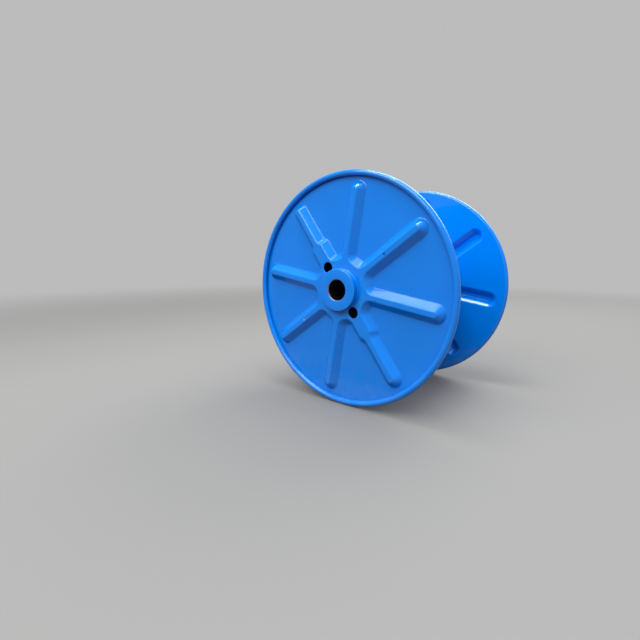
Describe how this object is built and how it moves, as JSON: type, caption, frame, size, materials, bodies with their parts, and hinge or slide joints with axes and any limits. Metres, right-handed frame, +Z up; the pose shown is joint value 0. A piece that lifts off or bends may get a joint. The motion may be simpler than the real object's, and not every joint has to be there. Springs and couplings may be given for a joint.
{
  "type": "cable reel",
  "caption": "Pressed steel cable reel with ribbed flanges, rolled rims, a plain barrel and turned hubs with a through bore.",
  "frame": {"origin": "middle of the reel, on the centre line of the bore", "axes": "+Y along the bore towards the back flange, +Z up with the reel standing on its rims, -Y towards the front flange"},
  "size_m": [0.6299, 0.475, 0.63],
  "materials": {
    "blue_enamel": "glossy enamel on pressed steel sheet",
    "hub_enamel": "glossy enamel on turned steel, worn to bare metal at the edge of the bore"
  },
  "bodies": {
    "root": {"front_flange": "blue_enamel", "back_flange": "blue_enamel", "barrel": "blue_enamel", "axle_tube": "blue_enamel", "front_hub": "hub_enamel", "back_hub": "hub_enamel"}
  },
  "joints": []
}
